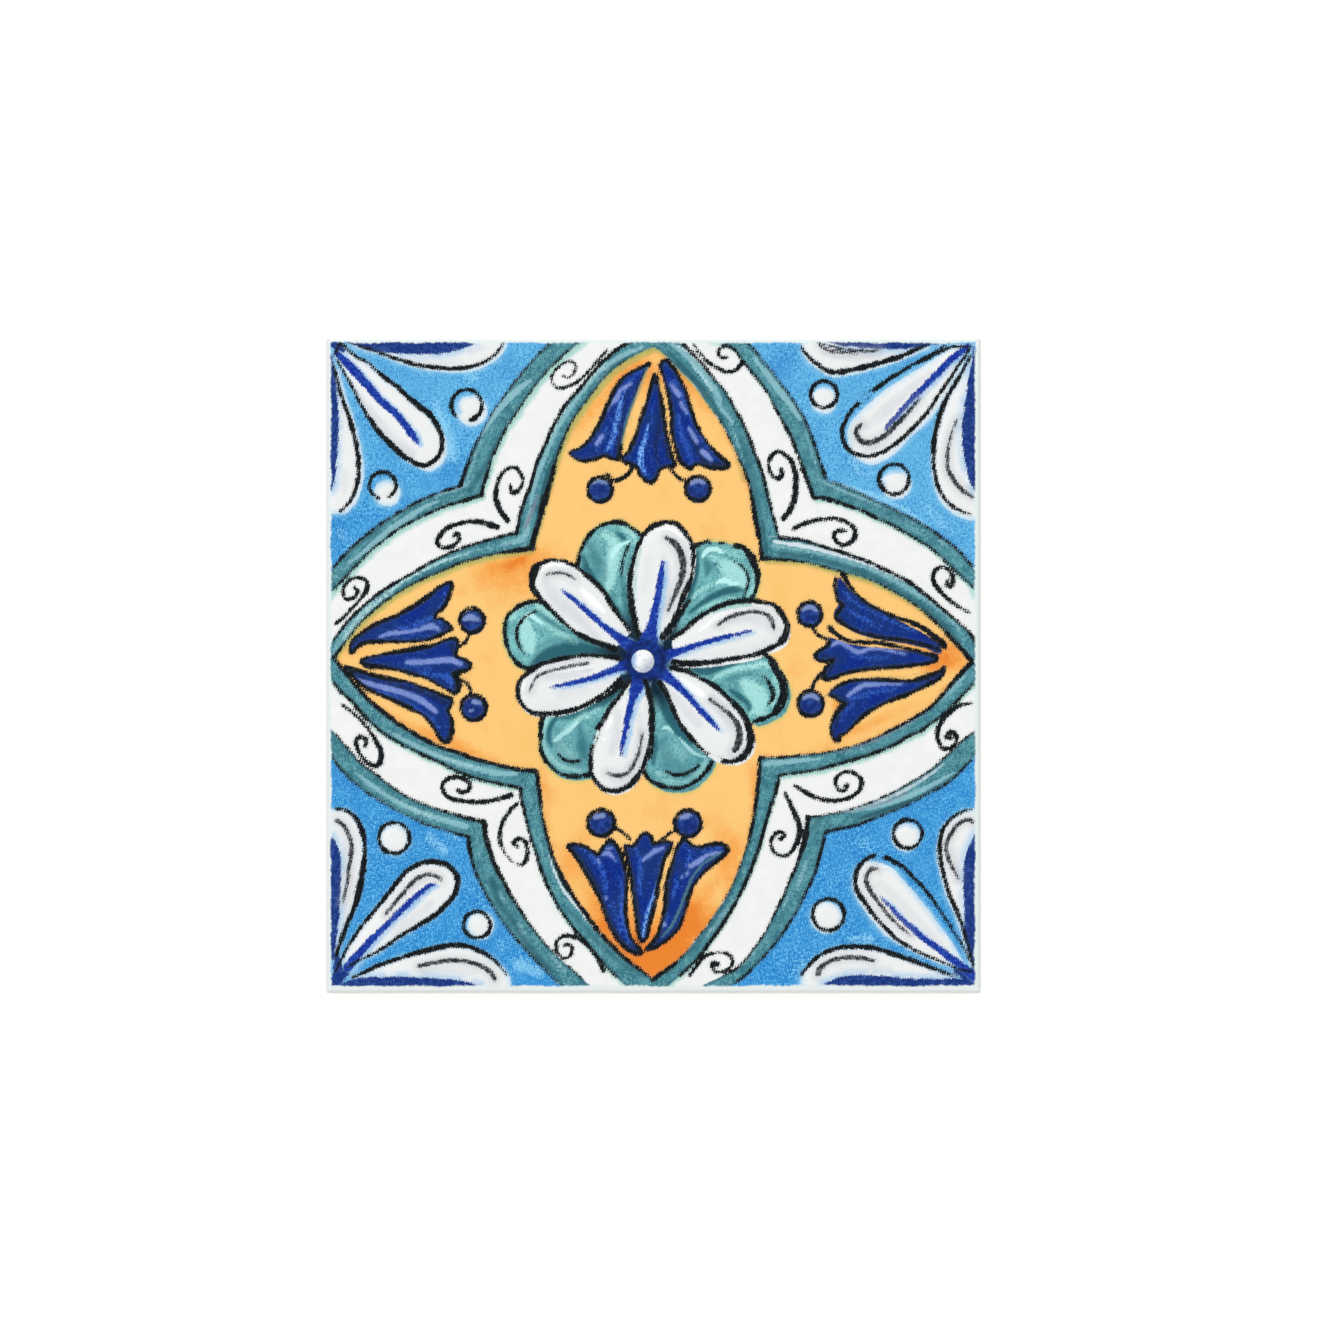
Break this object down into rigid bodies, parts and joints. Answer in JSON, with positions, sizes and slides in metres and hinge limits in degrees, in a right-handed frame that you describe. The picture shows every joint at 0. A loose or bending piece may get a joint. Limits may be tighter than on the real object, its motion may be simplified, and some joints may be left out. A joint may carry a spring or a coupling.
{
  "type": "majolica tile",
  "caption": "Square glazed wall tile with a low-relief hand-painted style flower and ribbon pattern, rounded face edge and flat back.",
  "frame": {"origin": "centre of the flat back", "axes": "+Z out of the decorated face, +Y towards the picture's top edge, +X towards its right edge"},
  "size_m": [0.2, 0.2, 0.0091],
  "materials": {
    "tile": "glossy white majolica glaze with painted colours"
  },
  "bodies": {
    "root": {"tile": "tile"}
  },
  "joints": []
}
